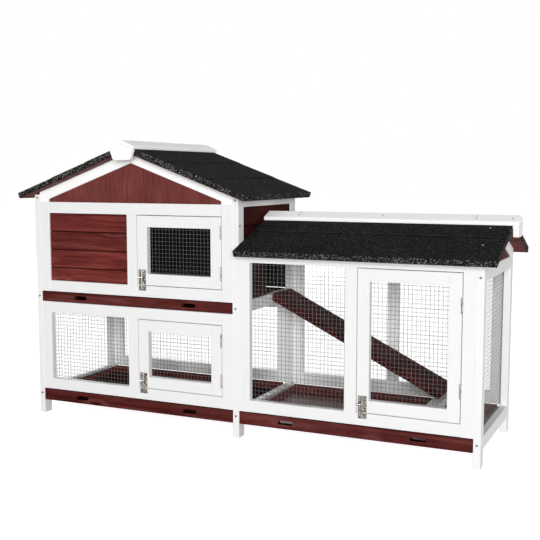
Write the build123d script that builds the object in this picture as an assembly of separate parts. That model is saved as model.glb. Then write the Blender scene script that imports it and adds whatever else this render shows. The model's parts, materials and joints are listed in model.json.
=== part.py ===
from build123d import *
import math
import os

# Two-storey rabbit hutch with a covered run. Millimetres, +Z up, origin on the ground at the middle of the
# overall box. +X runs along the front towards the run, the front faces -Y.

# Timber
timber = 20.0            # thickness of every frame timber
rail = 35.0              # width of stiles and rails
eave_rail = 30.0         # height of the top rail of a house side frame
edge_ease = 0.8          # planed-off edge along every timber
bay = 292.0              # clear width between two stiles
storey = 216.0           # clear height of an opening in the house
run_clear = 405.0        # clear height of an opening in the run
depth = 420.0            # front face to rear face
leg_clear = 44.0         # ground to the lower trays
low_slot = 39.0          # height of the slot for a lower tray
up_slot = 34.0           # height of the slot for the upper tray

# Boards
plank = 58.0             # height of one wall plank
plank_t = 10.0           # thickness of planks and gable panels
plank_bevel = 3.0        # bevel along the long edges of a plank
recess = 5.0             # planks and panels behind the face of their frame
doorway_rows = 3         # planks cut short for the ramp doorway
doorway_w = 185.0        # width of the ramp doorway

# Roofs
pitch = 19.9             # slope of both roofs, degrees
gable_heel = 22.5        # front frame top to the roof, at the outer face of the house
run_heel = 32.5          # run opening to the roof, at the front face of the run
rafter = 31.0            # width of a gable rafter
board_t = 15.8           # roof board
felt_t = 1.8             # mineral felt
lap_t = 1.2              # step where one strip of felt laps over the next
house_laps = (148.0, 284.0)  # laps of the house felt, down the slope from the ridge
run_laps = (123.0,)      # lap of the run felt
felt_fold = 14.0         # felt folded down the gable edges
house_eave = 30.0        # house roof beyond the side frames
house_front = 34.0       # house roof beyond the front face
house_rear = 46.0        # house roof beyond the rear face
run_eave = 35.0          # run roof beyond the front and rear faces
run_end = 36.0           # run roof beyond the end frame
wall_gap = 2.0           # run roof to the house wall
cap_half = 41.5          # half width of a ridge cap
cap_side = 11.0          # height of its side
cap_rise = 2.8           # extra thickness at its middle
plate_t = 15.5           # ridge end plate
plate_drop = 46.3        # plate below the underside of the cap, at the middle
plate_half = 29.5        # half width of its lower edge

# Doors and hinges
door_gap = 2.0           # gap round a door
hinge_h = 40.0           # length of a hinge
hinge_at = 0.215         # hinge centre from the nearer door end, as a share of the door height
leaf_t = 0.9             # hinge leaf
leaf_d = 16.0            # depth of a leaf behind the front face
barrel_r = 2.7           # knuckle radius
barrel_out = 3.0         # hinge axis in front of the front face
pin_r = 1.2              # hinge pin
pin_fit = 0.05           # radial running clearance on pins
knuckle_gap = 0.4        # end clearance between knuckles
pin_head = 0.8           # thickness of a pin head

# Slide bolts
bolt_w = 25.0            # width of plate and keeper
bolt_h = 46.0            # height of the plate
bolt_t = 1.2             # sheet of plate, guides and keeper
bolt_lift = 1.5          # plate above the lower edge of its door
bolt_r = 2.5             # rod radius
bolt_fit = 0.08          # radial clearance in the guides
bolt_throw = 10.0        # travel from drawn to home
guide_h = 9.0            # height of a guide and of the keeper loop
keeper_h = 14.0          # height of the keeper plate
keeper_drop = 1.0        # keeper below the edge of the opening
knob_r = 2.0             # stem of the knob
knob_len = 12.0          # stem length from the rod axis
knob_head = 2.8          # radius of the knob
knob_head_t = 4.5        # thickness of the knob
knob_turn = 60.0         # stem turned to the left of straight out, degrees

# Trays
tray_fit = 1.5           # tray to the posts and rails beside it
tray_head = 1.5          # tray front to the rail above it
tray_front_t = 18.0      # front board
tray_floor = 4.0         # floor sheet
tray_side = 10.0         # thickness of side and back boards
tray_wall = 18.0         # height of side boards
tray_seat = 0.3          # floor above its runners
runner_w = 12.0          # width of a runner
runner_h = 5.0           # height of a runner
slot_len = 48.0          # finger slot
slot_h = 12.0
slot_inset = 148.0       # slot centre to the end of the tray

# Mesh
mesh_pitch = 12.0        # wire spacing
wire = 1.0               # wire thickness
weld_gap = 0.1           # between the two wire layers
mesh_lap = 5.0           # mesh over the back of its frame
mesh_clear = 1.0         # mesh to the runners and the cross rail

# Ramp
ramp_w = 147.0
ramp_t = 20.0
ramp_foot = 535.0        # foot to the house wall

# Screws
screw_r = 3.5            # head where it meets the wood
screw_top = 2.3          # flat of the head
screw_rise = 1.4         # height of the head
screw_edge = 10.0        # screw to the end of the timber that it holds
side_screw = 26.0        # side screw below the opening's head

# Derived places
slope = math.tan(math.radians(pitch))
sin_p = math.sin(math.radians(pitch))
cos_p = math.cos(math.radians(pitch))
panel_w = 3 * rail + 2 * bay
house_w = panel_w + 2 * timber
body_l = 2 * panel_w + 3 * timber
roof_t = board_t + felt_t
tip_out = felt_t * cos_p + roof_t * sin_p
reach_left = house_eave + tip_out
reach_right = run_end + felt_t + plate_t
reach_front = max(house_front + felt_t + plate_t, run_eave + tip_out)
reach_rear = max(house_rear + felt_t + plate_t, run_eave + tip_out)

house_l = -(body_l + reach_right - reach_left) / 2
panel_l = house_l + timber
panel_r = panel_l + panel_w
house_r = panel_r + timber
run_r = house_r + panel_w
end_r = run_r + timber
house_mid = (house_l + house_r) / 2
front = -(depth + reach_rear - reach_front) / 2
rear = front + depth
mid_y = (front + rear) / 2
front_in = front + timber
rear_in = rear - timber
post_front = front + rail
post_rear = rear - rail

low_sill = leg_clear + low_slot
low_open = low_sill + rail
low_head = low_open + storey
low_top = low_head + rail
up_sill = low_top + up_slot
up_open = up_sill + rail
up_head = up_open + storey
up_top = up_head + rail
house_heel = up_top + gable_heel
run_head = low_open + run_clear
run_top = run_head + run_heel
low_tie = low_sill - rail
up_tie = up_sill - rail
mesh_t = 2 * wire + weld_gap
cross_top = low_open
ramp_fall = up_sill - cross_top
ramp_reach = math.hypot(ramp_fall, ramp_foot)
ramp_angle = math.acos(ramp_t / ramp_reach) - math.atan2(ramp_foot, ramp_fall)
up_runner = up_tie + mesh_lap + mesh_clear


def slab(x, y, z):
    low = Vector(x[0], y[0], z[0])
    size = Vector(x[1], y[1], z[1]) - low
    return Pos(low + size / 2) * Box(size.X, size.Y, size.Z)


def ease(piece):
    return chamfer(piece.edges().sort_by(SortBy.LENGTH)[-4:], edge_ease)


def bar(x, y, z):
    return ease(slab(x, y, z))


def prism_x(points, x):
    face = make_face(Polyline(*points, close=True))
    return extrude(Plane.YZ.offset(x[0]) * face, x[1] - x[0])


def prism_y(points, y):
    face = make_face(Polyline(*points, close=True))
    return extrude(Plane.XZ.offset(-y[1]) * face, y[1] - y[0])


def group(solids):
    return Compound(children=list(solids))


# Underside of the two roofs
def house_under(x):
    return house_heel + min(x - house_l, house_r - x) * slope


def run_under(y):
    return run_top + min(y - front, rear - y) * slope


# Frames
def wall_frame(x, y, z, mid=True):
    inner = (x[0] + rail, x[1] - rail)
    timbers = [bar((x[0], inner[0]), y, z), bar((inner[1], x[1]), y, z)]
    timbers += [bar(inner, y, (z[0], z[0] + rail)), bar(inner, y, (z[1] - rail, z[1]))]
    if mid:
        timbers.append(bar((inner[0] + bay, inner[0] + bay + rail), y, (z[0] + rail, z[1] - rail)))
    return group(timbers)


def run_wall(y):
    outer, inner = (house_r, run_r), (house_r + rail, run_r - rail)
    tops = (run_under(y[0]), run_under(y[1]))
    stile = [(y[0], low_sill), (y[1], low_sill), (y[1], tops[1]), (y[0], tops[0])]
    head = [(y[0], run_head), (y[1], run_head), (y[1], tops[1]), (y[0], tops[0])]
    timbers = [ease(prism_x(stile, x)) for x in ((outer[0], inner[0]), (inner[1], outer[1]))]
    timbers += [ease(prism_x(head, inner)), bar(inner, y, (low_sill, low_open))]
    timbers.append(bar((inner[0] + bay, inner[0] + bay + rail), y, (low_open, run_head)))
    return group(timbers)


def house_side(x):
    posts = [bar(x, y, (0, house_heel)) for y in ((front, post_front), (post_rear, rear))]
    ties = [(low_tie, low_sill), (up_tie, up_sill), (house_heel - eave_rail, house_heel)]
    return group(posts + [bar(x, (post_front, post_rear), z) for z in ties])


def run_side():
    x, between = (run_r, end_r), (post_front, post_rear)
    high = run_under(post_front)
    fore = [(front, 0), (post_front, 0), (post_front, high), (front, run_top)]
    back = [(rear, 0), (post_rear, 0), (post_rear, high), (rear, run_top)]
    head = high - rafter / cos_p
    timbers = [ease(prism_x(fore, x)), ease(prism_x(back, x))]
    timbers += [bar(x, between, (head - rail, head)), bar(x, between, (low_tie, low_sill))]
    return group(timbers)


# Planks
def plank_rows(z):
    rows = max(1, math.floor((z[1] - z[0]) / plank + 0.75))
    cuts = [z[1] - plank * n for n in range(rows)] + [z[0]]
    return [(cuts[n + 1], cuts[n]) for n in range(rows)]


def plank_section(face, inward, z):
    back, cut = face + inward * plank_t, face + inward * plank_bevel
    return [(face, z[0] + plank_bevel), (face, z[1] - plank_bevel), (cut, z[1]), (back, z[1]), (back, z[0]),
            (cut, z[0])]


def wall_planks(x, face, inward, z):
    return group(prism_x(plank_section(face, inward, row), x) for row in plank_rows(z))


def side_planks(face, inward, short_rows=0):
    rows = plank_rows((up_sill, house_heel - eave_rail))
    ends = [post_rear] * (len(rows) - short_rows) + [post_rear - doorway_w] * short_rows
    return group(prism_y(plank_section(face, inward, row), (post_front, end)) for row, end in zip(rows, ends))


# Gables
def house_gable(y):
    fall = rafter / cos_p
    timbers = []
    for outer, inner in ((panel_l, panel_l + rail), (panel_r, panel_r - rail)):
        stub = [(outer, up_top), (inner, up_top), (inner, house_under(inner)), (outer, house_under(outer))]
        timbers.append(prism_y(stub, y))
        top = house_under(house_mid)
        beam = [(inner, house_under(inner) - fall), (inner, house_under(inner)), (house_mid, top),
                (house_mid, top - fall)]
        timbers.append(ease(prism_y(beam, y)))
    return timbers


def house_gable_panel(y):
    fall = rafter / cos_p
    left, right = panel_l + rail, panel_r - rail
    shape = [(left, up_top), (right, up_top), (right, house_under(right) - fall),
             (house_mid, house_under(house_mid) - fall), (left, house_under(left) - fall)]
    return prism_y(shape, y)


def run_gable():
    fall = rafter / cos_p
    top = run_under(mid_y)
    beams = []
    for side in (post_front, post_rear):
        beam = [(side, run_under(side) - fall), (side, run_under(side)), (mid_y, top), (mid_y, top - fall)]
        beams.append(ease(prism_x(beam, (run_r, end_r))))
    return group(beams)


def run_gable_panel():
    fall = rafter / cos_p
    foot = run_under(post_front) - fall
    shape = [(post_front, foot), (post_rear, foot), (mid_y, run_under(mid_y) - fall)]
    return prism_x(shape, (end_r - recess - plank_t, end_r - recess))


# Roofs, drawn across the ridge: s is the side, -1 or 1
def board_section(mid, top, half, s):
    eave = (mid + s * half, top - half * slope)
    tip = (eave[0] + s * board_t * sin_p, eave[1] + board_t * cos_p)
    return [(mid, top), eave, tip, (mid, top + board_t / cos_p)]


def felt_section(section, laps):
    ridge, eave, tip, crown = [Vector(*point) for point in board_section(*section)]
    mid, top, half, s = section
    down, up = Vector(s * cos_p, -sin_p), Vector(s * sin_p, cos_p)
    points = [crown, tip, eave, eave + down * felt_t, tip + (down + up) * felt_t]
    thick = felt_t
    for lap in sorted(laps, reverse=True):
        points += [crown + down * lap + up * rise for rise in (thick, thick + lap_t)]
        thick += lap_t
    return [(p.X, p.Y) for p in points] + [(mid, top + (board_t + thick) / cos_p)]


def fold_section(mid, top, half, s):
    ridge, eave, tip, crown = board_section(mid, top, half, s)
    tail = (tip[0] - s * felt_fold * sin_p, tip[1] - felt_fold * cos_p)
    return [crown, tip, tail, (mid, crown[1] - felt_fold / cos_p)]


def felt(prism, section, laps, ends):
    sheet = prism(felt_section(section, laps), (ends[0] - felt_t, ends[1] + felt_t))
    folds = [prism(fold_section(*section), (e, e + felt_t)) for e in (ends[0] - felt_t, ends[1])]
    return sheet + folds


def felt_crown(top, laps):
    return top + (roof_t + lap_t * len(laps)) / cos_p


def cap_section(mid, seat):
    edge = seat - cap_half * slope
    return [(mid, seat), (mid + cap_half, edge), (mid + cap_half, edge + cap_side),
            (mid, seat + cap_side + cap_rise), (mid - cap_half, edge + cap_side), (mid - cap_half, edge)]


def plate_section(mid, seat):
    edge = seat - cap_half * slope
    return [(mid, seat), (mid + cap_half, edge), (mid + plate_half, seat - plate_drop),
            (mid - plate_half, seat - plate_drop), (mid - cap_half, edge)]


house_ends = (front - house_front, rear + house_rear)
house_top = house_under(house_mid)
house_half = house_w / 2 + house_eave
house_seat = felt_crown(house_top, house_laps)
run_ends = (house_r + wall_gap + felt_t, end_r + run_end)
run_ridge = run_under(mid_y)
run_half = depth / 2 + run_eave
run_seat = felt_crown(run_ridge, run_laps)


def house_slopes():
    return [(house_mid, house_top, house_half, s) for s in (-1, 1)]


def run_slopes():
    return [(mid_y, run_ridge, run_half, s) for s in (-1, 1)]


def house_plates():
    shape = plate_section(house_mid, house_seat)
    fore, back = house_ends[0] - felt_t, house_ends[1] + felt_t
    return group([prism_y(shape, (fore - plate_t, fore)), prism_y(shape, (back, back + plate_t))])


def house_cap():
    over = felt_t + plate_t
    return prism_y(cap_section(house_mid, house_seat), (house_ends[0] - over, house_ends[1] + over))


def run_plate():
    end = run_ends[1] + felt_t
    return prism_x(plate_section(mid_y, run_seat), (end, end + plate_t))


def run_cap():
    ends = (run_ends[0] - felt_t, run_ends[1] + felt_t + plate_t)
    return prism_x(cap_section(mid_y, run_seat), ends)


# Welded mesh, drawn flat: upright wires against the frame, level wires welded across them
def wire_rows(first, last):
    count = math.floor((last - first) / mesh_pitch + 0.5)
    return [first + n * mesh_pitch for n in range(count + 1) if first + n * mesh_pitch < last - wire]


def mesh_panel(u, v, plane):
    left, right = u[0] - mesh_lap, u[1] + mesh_lap
    bottom, top = v[0] - mesh_lap, v[1] + mesh_lap
    half = wire / 2
    uprights = wire_rows(left + half, right)
    levels = [top + bottom - level for level in wire_rows(bottom + half, top)]
    wires = [slab((at - half, at + half), (bottom, top), (0, wire)) for at in uprights]
    wires += [slab((left, right), (at - half, at + half), (wire + weld_gap, mesh_t)) for at in levels]
    return [plane * piece for piece in wires]


front_back = Plane((0, front_in, 0), x_dir=(-1, 0, 0), z_dir=(0, 1, 0))
rear_face = Plane((0, rear_in, 0), x_dir=(1, 0, 0), z_dir=(0, -1, 0))
left_face = Plane((panel_l, 0, 0), x_dir=(0, 1, 0), z_dir=(1, 0, 0))
end_face = Plane((run_r, 0, 0), x_dir=(0, -1, 0), z_dir=(-1, 0, 0))


def front_mesh(x, z):
    return mesh_panel((-x[1], -x[0]), z, front_back)


def rear_mesh(x, z):
    return mesh_panel(x, z, rear_face)


# Doors
def door_frame(x, z):
    y = (front, front_in)
    inner = (x[0] + rail, x[1] - rail)
    timbers = [bar((x[0], inner[0]), y, z), bar((inner[1], x[1]), y, z)]
    timbers += [bar(inner, y, (z[0], z[0] + rail)), bar(inner, y, (z[1] - rail, z[1]))]
    return group(timbers)


def door_mesh(x, z):
    return front_mesh((x[0] + rail, x[1] - rail), (z[0] + rail, z[1] - rail))


def hinge_ends(z):
    inset = hinge_at * (z[1] - z[0])
    return [(mid - hinge_h / 2, mid + hinge_h / 2) for mid in (z[0] + inset, z[1] - inset)]


def knuckles(z):
    third = (z[1] - z[0]) / 3
    half = knuckle_gap / 2
    return [(z[0], z[0] + third - half), (z[0] + third + half, z[1] - third - half), (z[1] - third + half, z[1])]


def upright(x, y, z, radius):
    return Pos(x, y, (z[0] + z[1]) / 2) * Cylinder(radius, z[1] - z[0])


def hinge_leaf(axis_x, z, mine, side):
    axis_y = front - barrel_out
    gap_half = door_gap / 2
    flat = sorted((axis_x + side * gap_half, axis_x + side * (gap_half - leaf_t)))
    leaf = slab(flat, (front, front + leaf_d), z)
    bore = upright(axis_x, axis_y, z, pin_r + pin_fit)
    for part in mine:
        neck = slab(flat, (axis_y, front), part)
        leaf += upright(axis_x, axis_y, part, barrel_r) + neck
    return leaf - bore


def door_leaves(x, z):
    axis_x = x[1] + door_gap / 2
    return group(hinge_leaf(axis_x, ends, knuckles(ends)[1:2], -1) for ends in hinge_ends(z))


def frame_leaves(x, z):
    axis_x = x[1] + door_gap / 2
    return [hinge_leaf(axis_x, ends, knuckles(ends)[0::2], 1) for ends in hinge_ends(z)]


def hinge_pins(x, z):
    axis_x, axis_y = x[1] + door_gap / 2, front - barrel_out
    pins = []
    for low, high in hinge_ends(z):
        head = upright(axis_x, axis_y, (high, high + pin_head), barrel_r)
        pins.append(upright(axis_x, axis_y, (low, high), pin_r) + head)
    return pins


# Slide bolt: plate with two guides, a rod with a knob, and a keeper on the rail below
def bolt_axis(x, z):
    stand = front - bolt_t - bolt_r - bolt_fit
    return x[0] + rail / 2, stand, z[0] + bolt_lift


def guide(mid, stand, z):
    wall = bolt_r + bolt_fit + bolt_t
    back = front - bolt_t
    hoop = slab((mid - wall, mid + wall), (stand, back), z) + upright(mid, stand, z, wall)
    hollow = slab((mid - wall + bolt_t, mid + wall - bolt_t), (stand, back), z)
    return hoop - hollow - upright(mid, stand, z, bolt_r + bolt_fit)


def bolt_plate(x, z):
    mid, stand, low = bolt_axis(x, z)
    high = low + bolt_h
    plate = slab((mid - bolt_w / 2, mid + bolt_w / 2), (front - bolt_t, front), (low, high))
    return plate + guide(mid, stand, (low, low + guide_h)) + guide(mid, stand, (high - guide_h, high))


def bolt_rod(x, z):
    mid, stand, low = bolt_axis(x, z)
    tip = low - bolt_lift - door_gap - keeper_drop + knuckle_gap
    rod = upright(mid, stand, (tip, low + bolt_h - bolt_t), bolt_r)
    rod = chamfer(rod.edges().group_by(Axis.Z)[0], bolt_r / 3)
    lift = low + guide_h + bolt_throw + knob_head + knuckle_gap
    reach = Pos(mid, stand, lift) * Rot(0, 0, -90 - knob_turn) * Rot(0, 90, 0)
    stem = reach * Pos(0, 0, knob_len / 2) * Cylinder(knob_r, knob_len)
    return rod + stem + reach * Pos(0, 0, knob_len) * Cylinder(knob_head, knob_head_t)


def bolt_keeper(x, z):
    mid, stand, low = bolt_axis(x, z)
    top = low - bolt_lift - door_gap - keeper_drop
    plate = slab((mid - bolt_w / 2, mid + bolt_w / 2), (front - bolt_t, front), (top - keeper_h, top))
    return plate + guide(mid, stand, (top - guide_h, top))


# Trays
def tray_front(x, z):
    w, h = x[1] - x[0] - 2 * tray_fit, z[1] - z[0]
    face = Rectangle(w, h)
    for s in (-1, 1):
        face -= Pos(s * (w / 2 + tray_fit - slot_inset), 0) * SlotOverall(slot_len, slot_h)
    place = Plane(((x[0] + x[1]) / 2, front, (z[0] + z[1]) / 2), x_dir=(1, 0, 0), z_dir=(0, -1, 0))
    return ease(extrude(place * face, -tray_front_t))


def tray_pan(x, top, runner_z):
    wide = (x[0] + tray_fit, x[1] - tray_fit)
    long = (front + tray_front_t, rear_in - tray_fit)
    seat = runner_z + runner_h + tray_seat
    floor = slab(wide, long, (seat, seat + tray_floor))
    wall = (seat + tray_floor, seat + tray_floor + tray_wall)
    sides = [slab((wide[0], wide[0] + tray_side), long, wall), slab((wide[1] - tray_side, wide[1]), long, wall)]
    back = slab((wide[0] + tray_side, wide[1] - tray_side), (long[1] - tray_side, long[1]), (wall[0], top))
    return group([floor, *sides, back])


def runners(x, runner_z):
    long, tall = (front_in, rear), (runner_z, runner_z + runner_h)
    return [slab((x[0], x[0] + runner_w), long, tall), slab((x[1] - runner_w, x[1]), long, tall)]


# Ramp, which leans on the house wall and stands on a cross rail that is notched to clear the rear mesh
def cross_rail():
    foot = house_r + ramp_foot
    x, notch = (foot - rail / 2, foot + rail / 2), cross_top - mesh_lap - mesh_clear
    short = (front_in, rear_in - mesh_t - mesh_clear)
    return slab(x, (front_in, rear_in), (cross_top - timber, notch)) + slab(x, short, (notch, cross_top))


def ramp():
    foot, plumb = house_r + ramp_foot, ramp_t / math.cos(ramp_angle)
    toe = (foot + ramp_t * math.sin(ramp_angle), cross_top + ramp_t * math.cos(ramp_angle))
    board = [(house_r, up_sill), toe, (foot, cross_top), (house_r, up_sill - plumb)]
    return ease(prism_y(board, (post_rear - ramp_w, post_rear)))


# Screws in the faces of the posts
def frame_screws():
    head = Pos(0, 0, screw_rise / 2) * Cone(screw_r, screw_top, screw_rise)
    house_z = [low_tie + rail / 2, up_tie + rail / 2, house_heel - screw_edge]
    run_z = [low_tie + rail / 2, run_head_rail + screw_edge]
    posts = [(panel_l - timber / 2, house_z), (house_r - timber / 2, house_z), (end_r - timber / 2, run_z)]
    screws = []
    for y, turn in ((front, 90), (rear, -90)):
        screws += [Pos(x, y, z) * Rot(turn, 0, 0) * head for x, heights in posts for z in heights]
    for x, turn in ((house_l, -90), (house_r, 90)):
        edges = (front + timber / 2, rear - timber / 2)
        screws += [Pos(x, y, up_head - side_screw) * Rot(0, turn, 0) * head for y in edges]
    return group(screws)


# Bays, doors and trays
left_bay = (panel_l + rail, panel_l + rail + bay)
door_bay = (panel_r - rail - bay, panel_r - rail)
run_bay = (house_r + rail, house_r + rail + bay)
run_door_bay = (run_r - rail - bay, run_r - rail)
wide_bay = (panel_l + rail, panel_r - rail)
side_bay = (post_front, post_rear)


def leaf_size(span):
    return span[0] + door_gap, span[1] - door_gap


doors = {
    "upper_door": (leaf_size(door_bay), leaf_size((up_open, up_head))),
    "lower_door": (leaf_size(door_bay), leaf_size((low_open, low_head))),
    "run_door": (leaf_size(run_door_bay), leaf_size((low_open, run_head))),
}
trays = {
    "upper_tray": ((panel_l, panel_r), (low_top + tray_head, up_sill - tray_head), up_runner),
    "lower_tray": ((panel_l, panel_r), (leg_clear, low_sill - tray_head), low_tie),
    "run_tray": ((house_r, run_r), (leg_clear, low_sill - tray_head), low_tie),
}
front_y, rear_y = (front, front_in), (rear_in, rear)
panel_x = (panel_l, panel_r)
low_z, up_z = (low_sill, low_top), (up_sill, up_top)
run_open = (low_open, run_head)
run_head_rail = run_under(post_front) - rafter / cos_p - rail

nodes = {
    "house_left_frame": house_side((house_l, panel_l)),
    "house_right_frame": house_side((panel_r, house_r)),
    "run_side_frame": run_side(),
    "upper_front_frame": wall_frame(panel_x, front_y, up_z),
    "lower_front_frame": wall_frame(panel_x, front_y, low_z),
    "upper_rear_frame": wall_frame(panel_x, rear_y, up_z, mid=False),
    "lower_rear_frame": wall_frame(panel_x, rear_y, low_z, mid=False),
    "run_front_frame": run_wall(front_y),
    "run_rear_frame": run_wall(rear_y),
    "upper_front_planks": wall_planks(left_bay, front + recess, 1, (up_open, up_head)),
    "upper_rear_planks": wall_planks(wide_bay, rear - recess, -1, (up_open, up_head)),
    "house_left_planks": side_planks(house_l + recess, 1),
    "house_right_planks": side_planks(house_r - recess, -1, doorway_rows),
    "gable_rafters": group(house_gable(front_y) + house_gable(rear_y)),
    "gable_panels": group([house_gable_panel((front + recess, front + recess + plank_t)),
                           house_gable_panel((rear - recess - plank_t, rear - recess))]),
    "run_gable_rafters": run_gable(),
    "run_gable_panel": run_gable_panel(),
    "house_roof_boards": group(prism_y(board_section(*s), house_ends) for s in house_slopes()),
    "house_roof_felt": group(felt(prism_y, s, house_laps, house_ends) for s in house_slopes()),
    "house_ridge_cap": house_cap(),
    "house_ridge_plates": house_plates(),
    "run_roof_boards": group(prism_x(board_section(*s), run_ends) for s in run_slopes()),
    "run_roof_felt": group(felt(prism_x, s, run_laps, run_ends) for s in run_slopes()),
    "run_ridge_cap": run_cap(),
    "run_ridge_plate": run_plate(),
    "lower_front_mesh": group(front_mesh(left_bay, (low_open, low_head))),
    "lower_rear_mesh": group(rear_mesh(wide_bay, (low_open, low_head))),
    "house_left_mesh": group(mesh_panel(side_bay, (low_sill, up_tie), left_face)),
    "run_front_mesh": group(front_mesh(run_bay, run_open)),
    "run_rear_mesh": group(rear_mesh(run_bay, run_open) + rear_mesh(run_door_bay, run_open)),
    "run_side_mesh": group(mesh_panel((-post_rear, -post_front), (low_sill, run_head_rail), end_face)),
    "tray_runners": group(r for x, z, seat in trays.values() for r in runners(x, seat)),
    "run_cross_rail": cross_rail(),
    "ramp": ramp(),
    "hinge_frame_leaves": group(leaf for size in doors.values() for leaf in frame_leaves(*size)),
    "hinge_pins": group(pin for size in doors.values() for pin in hinge_pins(*size)),
    "bolt_keepers": group(bolt_keeper(*size) for size in doors.values()),
    "frame_screws": frame_screws(),
}
for name, size in doors.items():
    nodes[name + "_frame"] = door_frame(*size)
    nodes[name + "_mesh"] = group(door_mesh(*size))
    nodes[name + "_hinge_leaves"] = door_leaves(*size)
    nodes[name + "_bolt_plate"] = bolt_plate(*size)
    nodes[name + "_bolt"] = bolt_rod(*size)
for name, (x, z, seat) in trays.items():
    nodes[name + "_front"] = tray_front(x, z)
    nodes[name + "_pan"] = tray_pan(x, z[1], seat)

os.makedirs("parts", exist_ok=True)
for name, shape in nodes.items():
    export_step(shape, f"parts/{name}.step")
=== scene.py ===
import bpy
import json
import math
from mathutils import Matrix, Vector


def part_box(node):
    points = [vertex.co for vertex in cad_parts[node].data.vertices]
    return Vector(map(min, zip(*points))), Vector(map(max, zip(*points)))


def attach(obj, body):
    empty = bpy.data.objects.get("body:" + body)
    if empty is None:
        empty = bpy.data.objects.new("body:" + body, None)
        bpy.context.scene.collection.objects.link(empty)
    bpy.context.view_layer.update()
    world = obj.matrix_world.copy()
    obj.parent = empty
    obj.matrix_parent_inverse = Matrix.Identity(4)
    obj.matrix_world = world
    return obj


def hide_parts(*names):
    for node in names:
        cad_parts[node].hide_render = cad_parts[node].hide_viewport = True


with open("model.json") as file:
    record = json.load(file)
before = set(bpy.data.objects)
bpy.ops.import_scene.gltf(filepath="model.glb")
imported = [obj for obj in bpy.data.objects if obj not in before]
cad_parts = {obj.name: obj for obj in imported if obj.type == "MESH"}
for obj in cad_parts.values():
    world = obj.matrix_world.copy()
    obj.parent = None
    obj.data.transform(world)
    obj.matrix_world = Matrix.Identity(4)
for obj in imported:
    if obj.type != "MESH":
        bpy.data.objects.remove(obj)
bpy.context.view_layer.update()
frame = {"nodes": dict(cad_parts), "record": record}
nodes = frame["nodes"]
bodies = frame["record"]["behaviour"]["bodies"]
bodyOf = {node: body for body, group in bodies.items() for node in group}
doors = ("upper_door", "lower_door", "run_door")
bpy.ops.object.select_all(action="DESELECT")
print("hutch frame loaded,", len(nodes), "nodes")


# shader helpers
def startMaterial(name, roughness=0.5, metallic=0.0, specular=0.5):
    mat = bpy.data.materials.new(name)
    mat.use_nodes = True
    shader = mat.node_tree.nodes["Principled BSDF"]
    shader.inputs["Roughness"].default_value = roughness
    shader.inputs["Metallic"].default_value = metallic
    shader.inputs["Specular IOR Level"].default_value = specular
    return mat, mat.node_tree, shader


def addNode(tree, kind, inputs=None, **settings):
    node = tree.nodes.new(kind)
    for key, value in settings.items():
        setattr(node, key, value)
    for key, value in (inputs or {}).items():
        if isinstance(value, bpy.types.NodeSocket):
            tree.links.new(value, node.inputs[key])
        else:
            node.inputs[key].default_value = value
    return node


def doMath(tree, operation, a, b=0.0):
    return addNode(tree, "ShaderNodeMath", {0: a, 1: b}, operation=operation).outputs[0]


def colourSteps(tree, fac, steps):
    ramp = addNode(tree, "ShaderNodeValToRGB", {"Fac": fac})
    points = ramp.color_ramp.elements
    while len(points) < len(steps):
        points.new(0.5)
    for point, (place, colour) in zip(points, steps):
        point.position = place
        point.color = (*colour, 1.0)
    return ramp.outputs["Color"]


def greySteps(tree, fac, steps):
    return colourSteps(tree, fac, [(place, (value,) * 3) for place, value in steps])


def mixColours(tree, fac, a, b, blend="MIX"):
    node = addNode(tree, "ShaderNodeMix", data_type="RGBA", blend_type=blend)
    for socket, value in ((node.inputs[0], fac), (node.inputs[6], a), (node.inputs[7], b)):
        if isinstance(value, bpy.types.NodeSocket):
            tree.links.new(value, socket)
        else:
            socket.default_value = value if socket.type == "VALUE" else (*value, 1.0)
    return node.outputs[2]


def tint(tree, colour, by):
    # by is a node's output, a colour, or one number for all three channels
    return mixColours(tree, 1.0, colour, (by,) * 3 if isinstance(by, float) else by, "MULTIPLY")


def objectCoords(tree):
    return addNode(tree, "ShaderNodeTexCoord").outputs["Object"]


def axisOf(tree, coords, axis):
    return addNode(tree, "ShaderNodeSeparateXYZ", {0: coords}).outputs[axis.upper()]


def stretchCoords(tree, coords, grainAxis, along, across):
    scale = [along if axis == grainAxis else across for axis in "xyz"]
    return addNode(tree, "ShaderNodeMapping", {"Vector": coords, "Scale": scale}).outputs[0]


def noise(tree, coords, scale, detail=3.0, roughness=0.6, distortion=0.0):
    inputs = {"Vector": coords, "Scale": scale, "Detail": detail, "Roughness": roughness,
              "Distortion": distortion}
    return addNode(tree, "ShaderNodeTexNoise", inputs).outputs[0]


def between(tree, value, low, high):
    above = doMath(tree, "GREATER_THAN", value, low)
    return doMath(tree, "MULTIPLY", above, doMath(tree, "LESS_THAN", value, high))


def facesTowards(tree, side, limit=0.5):
    # 1 on the faces that look along side, such as "+y"
    facing = axisOf(tree, addNode(tree, "ShaderNodeTexCoord").outputs["Normal"], side[1])
    turned = doMath(tree, "MULTIPLY", facing, 1.0 if side[0] == "+" else -1.0)
    return doMath(tree, "GREATER_THAN", turned, limit)


def addBump(tree, shader, height, strength, distance):
    bump = addNode(tree, "ShaderNodeBump", {"Height": height, "Strength": strength, "Distance": distance})
    tree.links.new(bump.outputs[0], shader.inputs["Normal"])


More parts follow.
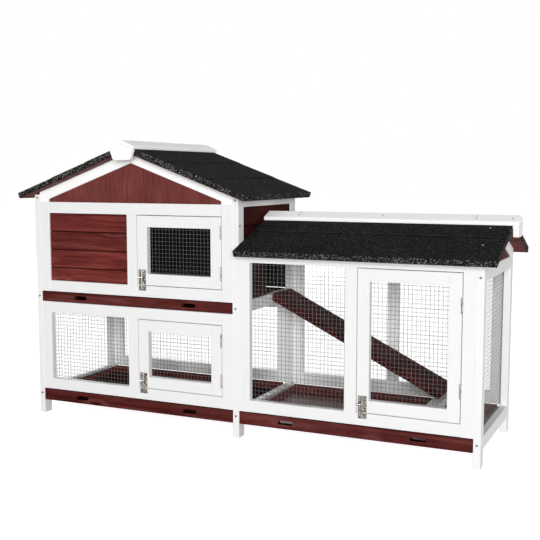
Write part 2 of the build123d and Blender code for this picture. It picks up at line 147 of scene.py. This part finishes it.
# red-brown stain over softwood: streaks along the grain, knots, dark seams between boards, and painted shade
# colours for inner faces
stainLook = {
    "dark": (0.058, 0.0066, 0.0056),
    "mid": (0.126, 0.0196, 0.0164),
    "light": (0.198, 0.0440, 0.0368),
    "knot": (0.034, 0.0050, 0.0045),
    "halo": (0.228, 0.0600, 0.0490),
    "seam": (0.012, 0.0030, 0.0028),
    # painted shade: near-black for faces turned inside, dark red for the lower tray's floor
    "insideShade": (0.0034, 0.0013, 0.0012),
    "trayFloorShade": (0.0340, 0.0072, 0.0062),
    "broadGrain": (1.8, 30.0),  # scales along and across the grain
    "fineGrain": (9.0, 330.0),
    "cloud": (6.0, 14.0),
    "knotCells": (4.0, 11.0),
    "knotFree": 0.62,  # share of the cells that have no knot
    "knotReach": 0.30,
    "swirl": 0.02,  # how far the grain bends round a knot
    "boardHeight": 0.058,
    "seamWidth": 0.055,  # as a share of the board
    "gloss": 0.12,
    "shadedGloss": 0.03,
    "rough": 0.62,
    "smooth": 0.46,
    "bump": (0.2, 0.0010),
}


def stainedBoards(name, grainAxis, boardTop=0.0, boardHeight=0.0, shade=1.0, fleck=0.3, spread=1.0,
                  inner="", innerShadeColour=stainLook["insideShade"], gloss=stainLook["gloss"], polish=1.0):
    mat, tree, shader = startMaterial(name, specular=gloss)
    coords = objectCoords(tree)
    if boardHeight:  # every board has its own piece of the grain
        down = doMath(tree, "SUBTRACT", boardTop, axisOf(tree, coords, "z"))
        height = doMath(tree, "DIVIDE", down, boardHeight)
        row = doMath(tree, "FLOOR", height)
        random = addNode(tree, "ShaderNodeTexWhiteNoise", {"W": row}, noise_dimensions="1D")
        coords = addNode(tree, "ShaderNodeVectorMath", {0: coords, 1: random.outputs["Color"]}).outputs[0]

    cells = stretchCoords(tree, coords, grainAxis, *stainLook["knotCells"])
    spots = addNode(tree, "ShaderNodeTexVoronoi", {"Vector": cells, "Scale": 1.0})
    draw = addNode(tree, "ShaderNodeSeparateColor", {0: spots.outputs["Color"]}).outputs[0]
    chosen = greySteps(tree, draw, [(stainLook["knotFree"], 0.0), (stainLook["knotFree"] + 0.02, 1.0)])
    reach = greySteps(tree, spots.outputs["Distance"], [(0.0, 1.0), (stainLook["knotReach"], 0.0)])
    near = doMath(tree, "MULTIPLY", reach, chosen)

    swirl = doMath(tree, "MULTIPLY", near, stainLook["swirl"])
    bent = addNode(tree, "ShaderNodeVectorMath", {0: coords, 1: swirl}).outputs[0]
    broad = noise(tree, stretchCoords(tree, bent, grainAxis, *stainLook["broadGrain"]), 1.5, 5.0, 0.62, 0.8)
    fine = noise(tree, stretchCoords(tree, bent, grainAxis, *stainLook["fineGrain"]), 1.7, 3.0, 0.7)
    cloud = noise(tree, stretchCoords(tree, coords, grainAxis, *stainLook["cloud"]), 1.0, 2.0, 0.5)
    grain = doMath(tree, "ADD", doMath(tree, "MULTIPLY", broad, 1.0 - fleck),
                   doMath(tree, "MULTIPLY", fine, fleck))

    colour = colourSteps(tree, grain, [(0.5 - 0.14 / spread, stainLook["dark"]), (0.5, stainLook["mid"]),
                                       (0.5 + 0.16 / spread, stainLook["light"])])
    ring = greySteps(tree, near, [(0.25, 0.0), (0.5, 0.55), (0.72, 0.0)])
    colour = mixColours(tree, doMath(tree, "MULTIPLY", ring, chosen), colour, stainLook["halo"])
    heart = greySteps(tree, near, [(0.72, 0.0), (0.84, 0.8)])
    colour = mixColours(tree, heart, colour, stainLook["knot"])
    colour = tint(tree, colour, greySteps(tree, cloud, [(0.3, 0.80), (0.7, 1.16)]))
    if boardHeight:
        colour = tint(tree, colour, greySteps(tree, random.outputs["Value"], [(0.0, 0.80), (1.0, 1.14)]))
        part = doMath(tree, "FRACT", height)
        edge = doMath(tree, "MINIMUM", part, doMath(tree, "SUBTRACT", 1.0, part))
        seam = greySteps(tree, edge, [(0.0, 1.0), (stainLook["seamWidth"], 0.0)])
        colour = mixColours(tree, seam, colour, stainLook["seam"])
    if shade != 1.0:
        colour = tint(tree, colour, shade)
    # painted shade: the faces turned the inner way take the dark shade colour
    if inner:
        colour = mixColours(tree, facesTowards(tree, inner), colour, innerShadeColour)
    tree.links.new(colour, shader.inputs["Base Color"])
    sheen = [(0.3, stainLook["rough"] * polish), (0.7, stainLook["smooth"] * polish)]
    tree.links.new(greySteps(tree, grain, sheen), shader.inputs["Roughness"])
    addBump(tree, shader, grain, *stainLook["bump"])
    return mat


# white paint over softwood, the grain just showing and turned with each timber, with painted shade: darker
# tones on some frames and near-black inner faces
paintLook = {
    "shadow": (0.905, 0.902, 0.898),
    "coat": (0.945, 0.944, 0.942),
    "knot": (0.890, 0.872, 0.838),
    "insideShade": (0.0034, 0.0013, 0.0012),
    "front": 0.86,  # painted shade: the frames in front and at the sides are toned darker than the rear ones
    "side": 0.87,
    "grain": (5.0, 130.0),
    "knotCells": (2.6, 7.0),
    "patch": 9.0,
    "gloss": 0.3,
    "rough": 0.52,
    "smooth": 0.40,
    "bump": (0.10, 0.0006),
    "rail": 0.035,
    "runHead": 0.0397,  # the run's head rail is taller than the others
}


def railsAcross(node, headHeight):
    low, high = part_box(node)
    rail = paintLook["rail"]

    def mask(tree, coords):
        inner = between(tree, axisOf(tree, coords, "x"), low.x + rail, high.x - rail)
        opening = between(tree, axisOf(tree, coords, "z"), low.z + rail, high.z - headHeight)
        return doMath(tree, "MULTIPLY", inner, doMath(tree, "SUBTRACT", 1.0, opening))
    return mask


def tiesBetween(node):
    low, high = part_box(node)
    rail = paintLook["rail"]
    return lambda tree, coords: between(tree, axisOf(tree, coords, "y"), low.y + rail, high.y - rail)


def whitePaint(name, grainAxis, turnedAxis="", mask=None, inner="", paintedShadeTone=1.0):
    mat, tree, shader = startMaterial(name, specular=paintLook["gloss"])
    coords = objectCoords(tree)
    scales = (paintLook["grain"], paintLook["knotCells"])
    fibres, cells = [stretchCoords(tree, coords, grainAxis, *scale) for scale in scales]
    if mask:
        turned = mask(tree, coords)
        across, turnedCells = [stretchCoords(tree, coords, turnedAxis, *scale) for scale in scales]
        fibres = mixColours(tree, turned, fibres, across)
        cells = mixColours(tree, turned, cells, turnedCells)
    grain = noise(tree, fibres, 1.4, 5.0, 0.65, 0.5)
    patch = noise(tree, coords, paintLook["patch"])
    spots = addNode(tree, "ShaderNodeTexVoronoi", {"Vector": cells, "Scale": 1.0})
    knot = greySteps(tree, spots.outputs["Distance"], [(0.02, 0.5), (0.09, 0.0)])
    colour = colourSteps(tree, grain, [(0.30, paintLook["shadow"]), (0.50, paintLook["coat"])])
    colour = mixColours(tree, knot, colour, paintLook["knot"])
    # painted shade: a darker tone of the paint
    if paintedShadeTone != 1.0:
        colour = tint(tree, colour, paintedShadeTone)
    # painted shade: the faces turned the inner way are near-black
    if inner:
        colour = mixColours(tree, facesTowards(tree, inner), colour, paintLook["insideShade"])
    tree.links.new(colour, shader.inputs["Base Color"])
    sheen = [(0.3, paintLook["smooth"]), (0.7, paintLook["rough"])]
    tree.links.new(greySteps(tree, patch, sheen), shader.inputs["Roughness"])
    addBump(tree, shader, grain, *paintLook["bump"])
    return mat


# mineral felt: dark granules with a few pale ones, thick with them along folds and lips, and lapped strips with
# a painted shadow below each lap and a painted highlight above it
feltLook = {
    "grain": 560.0,
    "clump": 210.0,
    "clumpPull": 0.06,  # how far the pale granules gather in clumps
    "broad": 7.0,
    "dark": (0.0048, 0.0048, 0.0047),
    "mid": (0.0160, 0.0156, 0.0150),
    "pale": (0.360, 0.353, 0.342),
    "lapHighlight": (0.070, 0.068, 0.066),
    "onFlat": 0.82,
    "onFold": 0.82,
    "flatShare": 0.20,
    "houseLaps": (0.148, 0.284),  # down the slope from the ridge
    "runLaps": (0.123,),
    "lapShade": 0.25,
    "lapWidth": 0.0034,
    "lapEdge": 0.0004,
    "lipWidth": 0.0030,
    "slope": math.radians(19.9),
    "rough": 0.95,
    "gloss": 0.05,
    "bump": (0.5, 0.0014),
}


def mineralFelt(name, node, acrossAxis, laps):
    mat, tree, shader = startMaterial(name, feltLook["rough"], specular=feltLook["gloss"])
    coords = objectCoords(tree)
    chips = addNode(tree, "ShaderNodeTexVoronoi", {"Vector": coords, "Scale": feltLook["grain"]})
    clump = noise(tree, coords, feltLook["clump"], 2.0, 0.7)
    broad = noise(tree, coords, feltLook["broad"], 4.0)
    random = addNode(tree, "ShaderNodeSeparateColor", {0: chips.outputs["Color"]})
    rise = axisOf(tree, addNode(tree, "ShaderNodeTexCoord").outputs["Normal"], "z")
    onFlat = greySteps(tree, rise, [(0.5, 0.0), (0.8, 1.0)])
    limit = greySteps(tree, onFlat, [(0.0, feltLook["onFold"]), (1.0, feltLook["onFlat"])])
    share = greySteps(tree, onFlat, [(0.0, 1.0), (1.0, feltLook["flatShare"])])
    base = colourSteps(tree, clump, [(0.36, feltLook["dark"]), (0.64, feltLook["mid"])])
    pulled = doMath(tree, "ADD", random.outputs[0], doMath(tree, "MULTIPLY", clump, feltLook["clumpPull"]))
    speck = doMath(tree, "GREATER_THAN", pulled, doMath(tree, "ADD", limit, feltLook["clumpPull"] / 2))
    speck = doMath(tree, "MULTIPLY", doMath(tree, "MULTIPLY", speck, random.outputs[1]), share)
    colour = mixColours(tree, speck, base, feltLook["pale"])
    colour = tint(tree, colour, greySteps(tree, broad, [(0.3, 0.82), (0.7, 1.18)]))

    low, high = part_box(node)
    middle = (low["xy".index(acrossAxis)] + high["xy".index(acrossAxis)]) / 2
    away = doMath(tree, "ABSOLUTE", doMath(tree, "SUBTRACT", axisOf(tree, coords, acrossAxis), middle))
    down = doMath(tree, "DIVIDE", away, math.cos(feltLook["slope"]))
    # painted shadow: a dark line just below each lap; painted highlight: a paler band of granules just above it
    for lap in laps:
        edge = lap - feltLook["lapEdge"]
        lapShadow = between(tree, down, edge, lap + feltLook["lapWidth"])
        colour = mixColours(tree, lapShadow, colour, tint(tree, colour, feltLook["lapShade"]))
        lapHighlight = between(tree, down, lap - feltLook["lipWidth"], edge)
        colour = mixColours(tree, doMath(tree, "MULTIPLY", lapHighlight, random.outputs[2]), colour, feltLook["lapHighlight"])
    tree.links.new(colour, shader.inputs["Base Color"])
    height = doMath(tree, "ADD", doMath(tree, "MULTIPLY", chips.outputs["Distance"], -1.0), clump)
    addBump(tree, shader, height, *feltLook["bump"])
    return mat


# zinc and nickel, a little uneven: dark, light, roughness, metallic and the scale of the bloom
metalLook = {
    "wire": ((0.095, 0.095, 0.096), (0.150, 0.150, 0.151), 0.50, 0.25, 240.0),
    "hinge": ((0.24, 0.23, 0.22), (0.56, 0.54, 0.52), 0.40, 0.6, 160.0),
    # the plate's dark and light blotches are uneven plating and partly a painted reflection
    "plate": ((0.15, 0.13, 0.11), (0.62, 0.57, 0.52), 0.30, 0.9, 190.0),
    "bolt": ((0.45, 0.43, 0.40), (0.68, 0.66, 0.63), 0.24, 0.9, 140.0),
    "screw": ((0.16, 0.155, 0.15), (0.40, 0.39, 0.38), 0.40, 0.8, 300.0),
    # painted light: the near-white of the far wires on the side turned inside
    "bright": (0.90, 0.90, 0.90),
    "uneven": 0.25,
    "bump": (0.08, 0.0004),
}


def platedMetal(name, kind, paintedBrightSide=""):
    dark, light, roughness, metallic, scale = metalLook[kind]
    mat, tree, shader = startMaterial(name, roughness, metallic)
    bloom = noise(tree, objectCoords(tree), scale, 4.0)
    colour = colourSteps(tree, bloom, [(0.38, dark), (0.62, light)])
    # painted light: the faces turned the given way are near-white
    if paintedBrightSide:
        colour = mixColours(tree, facesTowards(tree, paintedBrightSide, -0.3), colour, metalLook["bright"])
    tree.links.new(colour, shader.inputs["Base Color"])
    sheen = [(0.3, roughness * (1 - metalLook["uneven"])), (0.7, roughness * (1 + metalLook["uneven"]))]
    tree.links.new(greySteps(tree, bloom, sheen), shader.inputs["Roughness"])
    addBump(tree, shader, bloom, *metalLook["bump"])
    return mat


# bare softwood for the tray runners inside
bareLook = {
    "early": (0.55, 0.39, 0.23),
    "late": (0.33, 0.20, 0.10),
    "grain": (3.0, 90.0),
    "rough": 0.7,
    "bump": (0.2, 0.001),
}


def bareSoftwood(name, grainAxis):
    mat, tree, shader = startMaterial(name, bareLook["rough"])
    grain = noise(tree, stretchCoords(tree, objectCoords(tree), grainAxis, *bareLook["grain"]), 1.3, 5.0)
    colour = colourSteps(tree, grain, [(0.35, bareLook["late"]), (0.65, bareLook["early"])])
    tree.links.new(colour, shader.inputs["Base Color"])
    addBump(tree, shader, grain, *bareLook["bump"])
    return mat


houseFelt = mineralFelt("houseFelt", "house_roof_felt", "x", feltLook["houseLaps"])
runFelt = mineralFelt("runFelt", "run_roof_felt", "y", feltLook["runLaps"])
wireZinc = platedMetal("wireZinc", "wire")
# painted light: the rear and left wires are near-white on their inner side
rearWirePaintedBright = platedMetal("rearWirePaintedBright", "wire", "-y")
leftWirePaintedBright = platedMetal("leftWirePaintedBright", "wire", "+x")
hingeZinc = platedMetal("hingeZinc", "hinge")
boltPlate = platedMetal("boltPlate", "plate")
boltBright = platedMetal("boltBright", "bolt")
screwZinc = platedMetal("screwZinc", "screw")
gableStain = stainedBoards("gableStain", "z", shade=(1.12, 1.70, 1.75), fleck=0.9, spread=0.5)
# painted shade: the run's end gable is a darker copy of the stain
runGableStain = stainedBoards("runGableStain", "z", shade=0.6, fleck=0.55)
roofBoardsAlongX = stainedBoards("roofBoardsAlongX", "x", shade=0.9)
roofBoardsAlongY = stainedBoards("roofBoardsAlongY", "y", shade=0.9)
# painted shade: the tray fronts' top faces and slot bottoms are near-black; green and blue are raised as a
# painted sheen
trayStain = stainedBoards("trayStain", "x", shade=(0.72, 0.98, 1.06), inner="+z", gloss=0.0)
# painted shade: the upper tray's pan is darkened to near-black
upperPanStain = stainedBoards("upperPanStain", "y", shade=0.08, gloss=0.01)
# painted shade: the lower pan's floor faces take a dark shade colour
lowerPanStain = stainedBoards("lowerPanStain", "y", shade=1.1, inner="+z",
                              innerShadeColour=stainLook["trayFloorShade"], gloss=0.0)
# a painted sheen: green and blue lifted a little, besides the pan's real gloss
runPanStain = stainedBoards("runPanStain", "y", shade=(1.0, 1.2, 1.2), gloss=0.5, polish=0.55)
rampStain = stainedBoards("rampStain", "x", shade=(0.44, 0.38, 0.38), gloss=0.02)
softwood = bareSoftwood("runnerSoftwood", "y")
paintAlongX = whitePaint("paintAlongX", "x")
paintAlongY = whitePaint("paintAlongY", "y")
paintUpright = whitePaint("paintUpright", "z")


def wallBoards(node, grainAxis, shade, inner):
    gloss = stainLook["gloss" if shade == 1.0 else "shadedGloss"]
    return stainedBoards(node + "Stain", grainAxis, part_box(node)[1].z, stainLook["boardHeight"], shade,
                         inner=inner, gloss=gloss)


# painted shade: all but the rear frames get a darker tone, and inner faces may be made near-black
def framePaint(node, headHeight=paintLook["rail"], inner=""):
    paintedShadeTone = 1.0 if "rear" in node else paintLook["front"]
    return whitePaint(node + "Paint", "z", "x", railsAcross(node, headHeight), inner, paintedShadeTone)


# painted shade: the side frames get a darker tone of the paint
def sidePaint(node):
    return whitePaint(node + "Paint", "z", "y", tiesBetween(node), paintedShadeTone=paintLook["side"])


finishes = {
    "gable_rafters": paintAlongX, "gable_panels": gableStain,
    "run_gable_rafters": paintAlongY, "run_gable_panel": runGableStain,
    "house_roof_boards": roofBoardsAlongY, "run_roof_boards": roofBoardsAlongX,
    "house_roof_felt": houseFelt, "run_roof_felt": runFelt,
    "house_ridge_cap": paintAlongY, "house_ridge_plates": paintUpright,
    "run_ridge_cap": paintAlongX, "run_ridge_plate": paintUpright,
    "tray_runners": softwood, "run_cross_rail": paintAlongY, "ramp": rampStain,
    "hinge_frame_leaves": hingeZinc, "hinge_pins": hingeZinc, "bolt_keepers": boltPlate,
    "frame_screws": screwZinc,
    # painted shade: the walls' faces turned inside are near-black
    "upper_front_planks": wallBoards("upper_front_planks", "x", 1.0, "+y"),
    "upper_rear_planks": wallBoards("upper_rear_planks", "x", 1.0, "-y"),
    "house_left_planks": wallBoards("house_left_planks", "y", 1.0, "+x"),
    # painted shade: the right wall's stain is darkened to 0.30
    "house_right_planks": wallBoards("house_right_planks", "y", 0.30, "-x"),
    # painted shade: the upper rear frame's faces turned inside are near-black
    "upper_rear_frame": framePaint("upper_rear_frame", inner="-y"),
}
for name in ("house_left_frame", "house_right_frame", "run_side_frame"):
    finishes[name] = sidePaint(name)
for name in ("upper_front_frame", "lower_front_frame", "lower_rear_frame"):
    finishes[name] = framePaint(name)
for name in ("run_front_frame", "run_rear_frame"):
    finishes[name] = framePaint(name, paintLook["runHead"])
for door in doors:
    finishes[door + "_frame"] = framePaint(door + "_frame")
    finishes[door + "_hinge_leaves"] = hingeZinc
    finishes[door + "_bolt_plate"] = boltPlate
    finishes[door + "_bolt"] = boltBright
for tray, panStainShadeSheen in (("upper_tray", upperPanStain), ("lower_tray", lowerPanStain), ("run_tray", runPanStain)):
    finishes[tray + "_front"] = trayStain
    finishes[tray + "_pan"] = panStainShadeSheen
for name, node in nodes.items():
    node.data.materials.clear()
    node.data.materials.append(finishes.get(name, wireZinc))
print("finishes on", len(nodes), "nodes")


# modelling helpers
def selectOnly(*pieces):
    bpy.ops.object.select_all(action="DESELECT")
    for piece in pieces:
        piece.select_set(True)
    bpy.context.view_layer.objects.active = pieces[0]


def applyModifier(piece, kind, **settings):
    selectOnly(piece)
    modifier = piece.modifiers.new(kind.title(), kind)
    for key, value in settings.items():
        setattr(modifier, key, value)
    bpy.ops.object.modifier_apply(modifier=modifier.name)


def settle(piece):
    selectOnly(piece)
    bpy.ops.object.transform_apply(location=True, rotation=True, scale=True)


def joinAs(name, pieces):
    selectOnly(*pieces)
    bpy.ops.object.join()
    joined = bpy.context.object
    joined.name = joined.data.name = name
    return joined


smoothAngle = math.radians(40)


def finishPiece(piece, material, body, slot, *replaced):
    selectOnly(piece)
    bpy.ops.object.shade_smooth_by_angle(angle=smoothAngle)
    piece.data.materials.clear()
    piece.data.materials.append(material)
    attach(piece, body)
    if replaced:
        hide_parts(*replaced)


# rounded edges on the ridge caps and their end plates, by live modifiers
edgeLook = {"width": 0.0034, "segments": 2, "merge": 0.00001, "angle": 30.0}

for name in ("house_ridge_cap", "house_ridge_plates", "run_ridge_cap", "run_ridge_plate"):
    weld = nodes[name].modifiers.new("Weld", "WELD")
    weld.merge_threshold = edgeLook["merge"]
    ease = nodes[name].modifiers.new("Ease", "BEVEL")
    ease.width = edgeLook["width"]
    ease.segments = edgeLook["segments"]
    ease.limit_method = "ANGLE"
    ease.angle_limit = math.radians(edgeLook["angle"])
print("ridge edges rounded")


# welded wire panels: round uprights in one layer, round level wires welded behind them
wireLook = {
    "radius": 0.00054,
    "fine": 0.00038,  # radius in the panels behind and at the ends
    "pitch": 0.012,
    "sides": 8,
    "layer": 0.00050,  # depth of the uprights in the panel
    "weld": 1.8,  # distance between the layers, in radii
    "thickness": 0.001,  # of the plain wires
}


def wireArray(start, end, step, count, radius):
    run = Vector(end) - Vector(start)
    bpy.ops.mesh.primitive_cylinder_add(vertices=wireLook["sides"], radius=radius, depth=run.length,
                                        location=(Vector(start) + Vector(end)) / 2,
                                        rotation=run.to_track_quat("Z", "Y").to_euler())
    wire = bpy.context.object
    settle(wire)
    applyModifier(wire, "ARRAY", count=count, use_relative_offset=False, use_constant_offset=True,
                  constant_offset_displace=step)
    return wire


def wireCount(span):
    reach = span - 1.5 * wireLook["thickness"]
    return math.floor(reach / wireLook["pitch"] - 1e-6) + 1


def wirePanel(low, high, acrossAxis, sign, inward, radius):
    # acrossAxis 0 or 1 runs along the panel, sign is the way the uprights are counted, inward is off the frame
    depthAxis = 1 - acrossAxis
    half = wireLook["thickness"] / 2
    face = low[depthAxis] if inward > 0 else high[depthAxis]
    upright, level = Vector(), Vector()
    upright[depthAxis] = face + inward * wireLook["layer"]
    level[depthAxis] = upright[depthAxis] + inward * wireLook["weld"] * radius
    upright[acrossAxis] = low[acrossAxis] + half if sign > 0 else high[acrossAxis] - half
    step = Vector()
    step[acrossAxis] = sign * wireLook["pitch"]
    uprights = wireArray(upright + Vector((0, 0, low.z)), upright + Vector((0, 0, high.z)), step,
                         wireCount(high[acrossAxis] - low[acrossAxis]), radius)
    level.z = high.z - half
    start, end = level.copy(), level.copy()
    start[acrossAxis], end[acrossAxis] = low[acrossAxis], high[acrossAxis]
    drop = Vector((0, 0, -wireLook["pitch"]))
    levels = wireArray(start, end, drop, wireCount(high.z - low.z), radius)
    return joinAs("wires", [uprights, levels])


def meshPanel(node, acrossAxis, sign, inward, zinc=wireZinc, size="fine", parts=1):
    low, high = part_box(node)
    spans = [(low, high)]
    if parts == 2:  # both as wide as the run's front panel
        frontLow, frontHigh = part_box("run_front_mesh")
        width = frontHigh.x - frontLow.x
        spans = [(low, Vector((low.x + width, high.y, high.z))), (Vector((high.x - width, low.y, low.z)), high)]
    panels = [wirePanel(*span, acrossAxis, sign, inward, wireLook[size]) for span in spans]
    finishPiece(joinAs(node + ".wires", panels), zinc, bodyOf[node], "galvanised_wire", node)


for node in ("lower_front_mesh", "run_front_mesh", "upper_door_mesh", "lower_door_mesh", "run_door_mesh"):
    meshPanel(node, 0, -1, 1, size="radius")
meshPanel("lower_rear_mesh", 0, 1, -1, rearWirePaintedBright)
meshPanel("run_rear_mesh", 0, 1, -1, rearWirePaintedBright, parts=2)
meshPanel("house_left_mesh", 1, 1, 1, leftWirePaintedBright)
meshPanel("run_side_mesh", 1, -1, -1)
print("wire panels welded")


# cross-headed screws, modelled once and copied
screwLook = {
    "radius": 0.0035,
    "height": 0.0014,
    "sides": 20,
    "round": 0.75,  # as a share of the height
    "slotWidth": 0.0008,
    "slotLength": 1.15,  # in radii
    "slotDepth": 0.0009,
}


def screwHead(name):
    r, h = screwLook["radius"], screwLook["height"]
    bpy.ops.mesh.primitive_cylinder_add(vertices=screwLook["sides"], radius=r, depth=h, location=(0, 0, h / 2))
    head = bpy.context.object
    head.name = name
    settle(head)
    bpy.ops.object.mode_set(mode="EDIT")
    bpy.ops.mesh.select_all(action="DESELECT")
    bpy.ops.object.mode_set(mode="OBJECT")
    for edge in head.data.edges:
        edge.select = all(head.data.vertices[v].co.z > h * 0.9 for v in edge.vertices)
    bpy.ops.object.mode_set(mode="EDIT")
    bpy.ops.mesh.select_mode(type="EDGE")
    bpy.ops.mesh.bevel(offset=h * screwLook["round"], segments=3, profile=0.5)
    bpy.ops.object.mode_set(mode="OBJECT")
    for turn in (0.0, math.pi / 2):
        bpy.ops.mesh.primitive_cube_add(size=1.0, location=(0, 0, h), rotation=(0, 0, turn))
        cutter = bpy.context.object
        cutter.scale = (screwLook["slotLength"] * r, screwLook["slotWidth"], 2 * screwLook["slotDepth"])
        settle(cutter)
        applyModifier(head, "BOOLEAN", operation="DIFFERENCE", object=cutter)
        bpy.data.objects.remove(cutter)
    return head


def copyTo(pattern, place, outward, scale=1.0):
    copy = pattern.copy()
    copy.data = pattern.data.copy()
    bpy.context.collection.objects.link(copy)
    turn = Vector(outward).to_track_quat("Z", "Y").to_matrix().to_4x4()
    copy.data.transform(Matrix.Translation(place) @ turn @ Matrix.Scale(scale, 4))
    return copy


def loosePlaces(node):
    # the middle of each separate head where it meets its post, and the way it faces
    copy = nodes[node].copy()
    copy.data = nodes[node].data.copy()
    bpy.context.collection.objects.link(copy)
    copy.parent = None
    selectOnly(copy)
    bpy.ops.object.mode_set(mode="EDIT")
    bpy.ops.mesh.select_all(action="SELECT")
    bpy.ops.mesh.remove_doubles(threshold=1e-6)
    bpy.ops.mesh.separate(type="LOOSE")
    bpy.ops.object.mode_set(mode="OBJECT")
    places = []
    for head in list(bpy.context.selected_objects):
        points = [v.co for v in head.data.vertices]
        low = Vector([min(p[i] for p in points) for i in range(3)])
        high = Vector([max(p[i] for p in points) for i in range(3)])
        thin = min(range(3), key=lambda i: high[i] - low[i])
        lowRim, highRim = [max((p[1 - thin] for p in points if abs(p[thin] - end[thin]) < 1e-5), default=0.0)
                           for end in (low, high)]  # the wider end is the one at the post
        outward = Vector((0.0, 0.0, 0.0))
        outward[thin] = 1.0 if lowRim > highRim else -1.0
        middle = (low + high) / 2
        middle[thin] = low[thin] if lowRim > highRim else high[thin]
        places.append((middle, outward))
    for head in list(bpy.context.selected_objects):
        bpy.data.objects.remove(head)
    return places


pattern = screwHead("screwPattern")
heads = [copyTo(pattern, place, outward) for place, outward in loosePlaces("frame_screws")]
finishPiece(joinAs("frameScrewHeads", heads), screwZinc, "hutch", "screw_metal", "frame_screws")
print("frame screws,", len(heads))


# four small screws in each bolt plate
boltLook = {"screw": 0.55, "edge": 0.0035, "rise": 0.0145, "sheet": 0.0012}  # screw is a scale of the head

for door in doors:
    low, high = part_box(door + "_bolt_plate")
    face = high.y - boltLook["sheet"]
    columns = (low.x + boltLook["edge"], high.x - boltLook["edge"])
    rows = (low.z + boltLook["rise"], high.z - boltLook["rise"])
    spots = [Vector((x, face, z)) for x in columns for z in rows]
    heads = [copyTo(pattern, spot, (0, -1, 0), boltLook["screw"]) for spot in spots]
    finishPiece(joinAs(door + "BoltScrews", heads), boltBright, door, "bolt_metal")
print("bolt screws set")


# screws through the run's ridge cap and two bright nails in its felt, counted from the left end and the ridge
ridgeLook = {
    "screws": ((0.110, 0.010), (0.110, 0.024), (0.371, 0.016), (0.643, 0.010), (0.643, 0.024), (0.742, 0.020)),
    "screw": 0.85,
    "capSlope": 0.4294,
    "nails": ((0.6888, 0.0564), (0.6905, 0.1635)),
    "nail": 0.75,
    "feltSlope": 0.362,
    "sunk": 0.5,  # as a share of the head's height
}


def onFrontSlope(node, along, down, slope):
    # a spot a little below the surface, and the way the slope faces
    low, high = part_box(node)
    facing = Vector((0.0, -slope, 1.0)).normalized()
    spot = Vector((low.x + along, (low.y + high.y) / 2 - down, high.z - down * slope))
    return spot - facing * screwLook["height"] * ridgeLook["sunk"], facing


def headsOnSlope(node, spots, slope, scale):
    return [copyTo(pattern, *onFrontSlope(node, along, down, slope), scale) for along, down in spots]


heads = headsOnSlope("run_ridge_cap", ridgeLook["screws"], ridgeLook["capSlope"], ridgeLook["screw"])
finishPiece(joinAs("ridgeCapScrews", heads), screwZinc, "hutch", "screw_metal")
heads = headsOnSlope("run_roof_felt", ridgeLook["nails"], ridgeLook["feltSlope"], ridgeLook["nail"])
finishPiece(joinAs("feltNails", heads), boltBright, "hutch", "screw_metal")
bpy.data.objects.remove(pattern)
print("ridge screws and felt nails set")


# camera at the photo's place, counted from the front left foot
cameraSpot = {"fromFoot": (1.8995, -2.3445, 0.778), "yaw": 24.53, "pitch": 6.05, "lens": 60.53, "sensor": 36.0}
yaw, pitch = math.radians(cameraSpot["yaw"]), math.radians(cameraSpot["pitch"])
looking = Vector((-math.sin(yaw) * math.cos(pitch), math.cos(yaw) * math.cos(pitch), -math.sin(pitch)))
bpy.ops.object.camera_add(location=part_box("house_left_frame")[0] + Vector(cameraSpot["fromFoot"]),
                          rotation=looking.to_track_quat("-Z", "Y").to_euler())
camera = bpy.context.object
camera.data.lens = cameraSpot["lens"]
camera.data.sensor_width = cameraSpot["sensor"]
bpy.context.scene.camera = camera


# soft studio light, mostly from the front and low: name, place, power, size and aim
lights = (
    ("keyLight", (4.2, -9.4, 2.0), 1080.0, 5.0, (0.0, 0.0, 0.4)),
    ("topLight", (0.2, 0.4, 4.2), 37.0, 3.5, (0.2, 0.0, 0.4)),
    ("sideLight", (5.0, 0.3, 0.9), 42.0, 2.0, (0.3, 0.0, 0.4)),
    ("rearLight", (-3.2, 4.8, 0.7), 150.0, 3.0, (0.0, 0.0, 0.4)),
)
for name, place, power, size, aim in lights:
    turn = (Vector(aim) - Vector(place)).to_track_quat("-Z", "Y").to_euler()
    bpy.ops.object.light_add(type="AREA", location=place, rotation=turn)
    light = bpy.context.object
    light.name = name
    light.data.energy = power
    light.data.size = size


# a world and a floor that look white and give little light
studio = {
    "white": (1.0, 1.0, 1.0, 1.0),
    "worldLight": 0.14,
    "worldSeen": 1.0,
    "worldShine": 0.5,  # what the shiny faces see
    "floor": (0.66, 0.66, 0.66, 1.0),
    "floorSize": 60.0,
    "floorRough": 0.9,
    "floorGloss": 0.1,
    "floorGlow": 0.89,  # what the camera sees
    "floorBounce": 0.12,
}
world = bpy.data.worlds.new("studioWorld")
bpy.context.scene.world = world
world.use_nodes = True
worldTree = world.node_tree
background = worldTree.nodes["Background"]
background.inputs["Color"].default_value = studio["white"]
rays = addNode(worldTree, "ShaderNodeLightPath").outputs
strength = studio["worldLight"]
for ray, bright in (("Is Camera Ray", studio["worldSeen"]), ("Is Glossy Ray", studio["worldShine"])):
    added = doMath(worldTree, "MULTIPLY", rays[ray], bright - studio["worldLight"])
    strength = doMath(worldTree, "ADD", added, strength)
worldTree.links.new(strength, background.inputs["Strength"])
bpy.context.scene.view_settings.view_transform = "Standard"

bpy.ops.mesh.primitive_plane_add(size=studio["floorSize"])
floor = bpy.context.object
floor.name = "studioFloor"
floorPaint, floorTree, floorShader = startMaterial("floorPaint", studio["floorRough"],
                                                   specular=studio["floorGloss"])
floorShader.inputs["Base Color"].default_value = studio["floor"]
floorShader.inputs["Emission Color"].default_value = studio["white"]
looked = addNode(floorTree, "ShaderNodeLightPath").outputs["Is Camera Ray"]
glow = doMath(floorTree, "MULTIPLY", looked, studio["floorGlow"] - studio["floorBounce"])
glow = doMath(floorTree, "ADD", glow, studio["floorBounce"])
floorTree.links.new(glow, floorShader.inputs["Emission Strength"])
floor.data.materials.append(floorPaint)
print("camera, lights and floor set")
